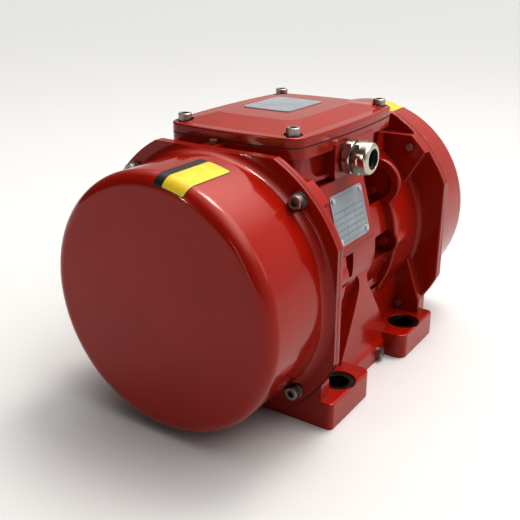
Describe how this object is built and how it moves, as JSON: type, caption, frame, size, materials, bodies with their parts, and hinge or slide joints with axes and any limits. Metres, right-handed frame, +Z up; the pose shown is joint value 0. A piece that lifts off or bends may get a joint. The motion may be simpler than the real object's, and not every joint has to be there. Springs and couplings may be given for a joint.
{
  "type": "vibration motor",
  "caption": "Foot-mounted electric vibration motor: cast housing, deep end covers over adjustable eccentric weights, terminal box with lid and cable gland.",
  "frame": {"origin": "on the base plane under the middle of the shaft, midway between the feet", "axes": "+X along the shaft towards the rear cover, -Y towards the cable gland and nameplate, +Z up"},
  "size_m": [0.331, 0.201, 0.2086],
  "materials": {
    "red_paint": "gloss red enamel over a casting",
    "zinc_steel": "zinc plated",
    "bolt_steel": "steel, ends over-painted red",
    "bright_steel": "ground steel",
    "weight_iron": "flame-cut steel plate, dull",
    "nickel_brass": "nickel plated brass",
    "brass": "bare brass",
    "copper": "enamelled copper wire",
    "lamination": "stacked electrical steel",
    "cast_aluminium": "die cast",
    "plate_aluminium": "satin anodised sheet",
    "black_rubber": "nitrile rubber",
    "gasket_rubber": "flat gasket sheet",
    "block_plastic": "moulded phenolic"
  },
  "bodies": {
    "motor": {"motor_housing": "red_paint", "front_cover": "red_paint", "rear_cover": "red_paint", "front_cover_seal": "gasket_rubber", "rear_cover_seal": "gasket_rubber", "front_cover_screws": "zinc_steel", "rear_cover_screws": "zinc_steel", "front_cover_washers": "zinc_steel", "rear_cover_washers": "zinc_steel", "front_bearing_flange": "weight_iron", "rear_bearing_flange": "weight_iron", "front_bearing_flange_bolts": "bolt_steel", "rear_bearing_flange_bolts": "bolt_steel", "front_grease_seal": "black_rubber", "rear_grease_seal": "black_rubber", "front_bearing_circlip": "bright_steel", "rear_bearing_circlip": "bright_steel", "front_bearing_outer_ring": "bright_steel", "rear_bearing_outer_ring": "bright_steel", "stator_core": "lamination", "stator_windings": "copper", "terminal_box_lid": "red_paint", "lid_gasket": "gasket_rubber", "lid_screws": "zinc_steel", "lid_washers": "zinc_steel", "lid_plate": "plate_aluminium", "nameplate": "plate_aluminium", "nameplate_rivets": "plate_aluminium", "gland_body": "nickel_brass", "gland_cap_nut": "nickel_brass", "gland_seal": "black_rubber", "gland_ring": "black_rubber", "terminal_block": "block_plastic", "terminal_studs": "brass", "terminal_links": "brass", "terminal_nuts": "brass", "terminal_block_screws": "zinc_steel", "earth_screw": "zinc_steel", "inner_earth_screw": "zinc_steel", "grease_plugs": "brass"},
    "rotor": {"shaft": "bright_steel", "rotor_core": "lamination", "rotor_cage": "cast_aluminium", "front_bearing_inner_ring": "bright_steel", "rear_bearing_inner_ring": "bright_steel", "front_fixed_weight": "weight_iron", "rear_fixed_weight": "weight_iron", "weight_keys": "bright_steel", "shaft_spacers": "bright_steel", "shaft_end_rings": "bright_steel"},
    "front_weight": {"front_adjustable_weight": "weight_iron", "front_clamp_screw": "zinc_steel"},
    "rear_weight": {"rear_adjustable_weight": "weight_iron", "rear_clamp_screw": "zinc_steel"},
    "front_roller_set": {"front_bearing_cage": "brass", "front_bearing_rollers": "bright_steel"},
    "rear_roller_set": {"rear_bearing_cage": "brass", "rear_bearing_rollers": "bright_steel"}
  },
  "joints": [
    {"name": "rotor_spin", "type": "hinge", "parent": "motor", "child": "rotor", "pos_m": [0, 0, 0.098], "axis": [1, 0, 0], "continuous": true},
    {"name": "front_weight_set", "type": "hinge", "parent": "rotor", "child": "front_weight", "pos_m": [-0.13, 0, 0.098], "axis": [1, 0, 0], "range_deg": [0, 180]},
    {"name": "rear_weight_set", "type": "hinge", "parent": "rotor", "child": "rear_weight", "pos_m": [0.13, 0, 0.098], "axis": [1, 0, 0], "range_deg": [0, 180]},
    {"name": "front_roller_spin", "type": "hinge", "parent": "motor", "child": "front_roller_set", "pos_m": [-0.0775, 0, 0.098], "axis": [1, 0, 0], "continuous": true},
    {"name": "rear_roller_spin", "type": "hinge", "parent": "motor", "child": "rear_roller_set", "pos_m": [0.0775, 0, 0.098], "axis": [1, 0, 0], "continuous": true}
  ],
  "couplings": [
    {"joint": "front_roller_spin", "follows": "rotor_spin", "ratio": 0.4},
    {"joint": "rear_roller_spin", "follows": "rotor_spin", "ratio": 0.4}
  ]
}
